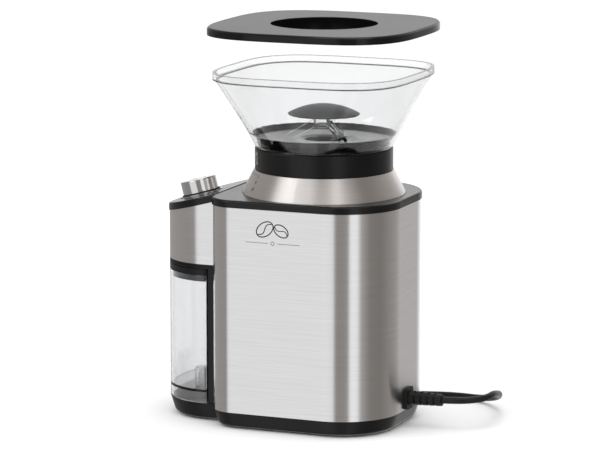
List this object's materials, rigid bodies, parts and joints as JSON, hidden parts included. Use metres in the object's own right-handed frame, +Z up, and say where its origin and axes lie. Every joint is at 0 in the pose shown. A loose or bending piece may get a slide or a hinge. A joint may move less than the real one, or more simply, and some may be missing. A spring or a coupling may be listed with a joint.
{
  "type": "burr coffee grinder",
  "caption": "Electric burr coffee grinder: steel body, clear square bean hopper with lifted lid, tilted front knob, slide-out clear grounds container and mains lead.",
  "frame": {"origin": "bottom centre of the bounding box without the lead, on the surface the feet stand on", "axes": "+Z up, -Y to the front with the knob and the grounds container, +X to the right seen from the front; the burr axis is upright at x = 0, y = 0.02025"},
  "size_m": [0.2136, 0.2594, 0.2922],
  "materials": {
    "brushed_steel": "fine horizontal brushing",
    "black_plastic": "satin black moulding",
    "lid_plastic": "satin top with glossy edge",
    "clear_plastic": "clear moulding",
    "tray_plastic": "glossy black moulding",
    "grey_plastic": "fine texture",
    "chrome": "bright plating",
    "rubber": "dull",
    "lead_sheath": "soft PVC sheath",
    "pin_metal": "nickel plate",
    "machined_steel": "turned and ground",
    "bronze": "sintered",
    "structural_plastic": "glass filled moulding",
    "circuit_board": "solder mask",
    "switch_plastic": "moulded",
    "felt": "wool felt"
  },
  "bodies": {
    "housing": {"steel_sleeve": "brushed_steel", "cone_ring": "brushed_steel", "front_cover": "brushed_steel", "base": "black_plastic", "top_frame": "black_plastic", "front_top_plate": "black_plastic", "front_floor": "black_plastic", "back_plate": "black_plastic", "knob_bezel": "chrome", "rubber_feet": "rubber", "strain_relief": "rubber", "knob_gasket": "rubber", "cord": "lead_sheath", "cord_coil": "lead_sheath", "plug": "lead_sheath", "inner_leads": "lead_sheath", "plug_pins": "pin_metal", "motor_can": "machined_steel", "spindle_bearing": "machined_steel", "base_screws": "machined_steel", "frame_screws": "machined_steel", "motor_screws": "machined_steel", "spindle_bush": "bronze", "chassis": "structural_plastic", "gear_housing": "structural_plastic", "grinding_chamber": "structural_plastic", "chute": "structural_plastic", "motor_end_cap": "structural_plastic", "detent_ring": "structural_plastic", "cord_clamp": "structural_plastic", "power_board": "circuit_board", "timer_board": "circuit_board", "timer_switch": "switch_plastic", "hopper_switch": "switch_plastic", "container_switch": "switch_plastic", "spindle_seal": "felt"},
    "drive_spindle": {"spindle": "machined_steel", "large_gear": "structural_plastic", "burr_hub": "structural_plastic", "lower_burr": "machined_steel", "feed_nut": "machined_steel"},
    "motor_rotor": {"motor_shaft": "machined_steel", "pinion": "bronze"},
    "upper_burr_set": {"burr_carrier": "structural_plastic", "upper_burr": "machined_steel"},
    "collar": {"adjusting_collar": "black_plastic", "pointer_tab": "clear_plastic"},
    "hopper_set": {"hopper": "clear_plastic", "hopper_tray": "tray_plastic", "bean_guard": "clear_plastic", "guard_cap": "grey_plastic"},
    "lid": {"lid": "lid_plastic"},
    "container_set": {"container": "clear_plastic", "container_post": "clear_plastic", "container_lid": "black_plastic"},
    "knob_set": {"knob": "chrome", "knob_shaft": "machined_steel"},
    "button": {"start_button": "chrome"}
  },
  "joints": [
    {"name": "spindle_spin", "type": "hinge", "parent": "housing", "child": "drive_spindle", "pos_m": [0, 0.02025, 0.116], "axis": [0, 0, 1], "continuous": true},
    {"name": "pinion_spin", "type": "hinge", "parent": "housing", "child": "motor_rotor", "pos_m": [0, 0.05325, 0.116], "axis": [0, 0, 1], "continuous": true},
    {"name": "collar_turn", "type": "hinge", "parent": "housing", "child": "collar", "pos_m": [0, 0.02025, 0.194], "axis": [0, 0, 1], "range_deg": [-66, 14]},
    {"name": "burr_set", "type": "slide", "parent": "housing", "child": "upper_burr_set", "axis": [0, 0, 1], "range_m": [-0.00068, 0.00016]},
    {"name": "hopper_lift", "type": "slide", "parent": "collar", "child": "hopper_set", "axis": [0, 0, 1], "range_m": [0, 0.06]},
    {"name": "lid_lift", "type": "slide", "parent": "hopper_set", "child": "lid", "axis": [0, 0, 1], "range_m": [-0.0307, 0.03]},
    {"name": "container_slide", "type": "slide", "parent": "housing", "child": "container_set", "axis": [0, -1, 0], "range_m": [0, 0.09]},
    {"name": "knob_turn", "type": "hinge", "parent": "housing", "child": "knob_set", "pos_m": [0, -0.07725, 0.16153], "axis": [0, -0.2588, 0.9659], "range_deg": [-270, 0]},
    {"name": "button_press", "type": "slide", "parent": "knob_set", "child": "button", "axis": [0, 0.2588, -0.9659], "range_m": [0, 0.0018], "stiffness_N_per_m": 600, "springref_m": -0.001}
  ],
  "couplings": [
    {"joint": "pinion_spin", "follows": "spindle_spin", "ratio": -4.5},
    {"joint": "burr_set", "follows": "collar_turn", "m_per_rad": 0.00057296}
  ]
}
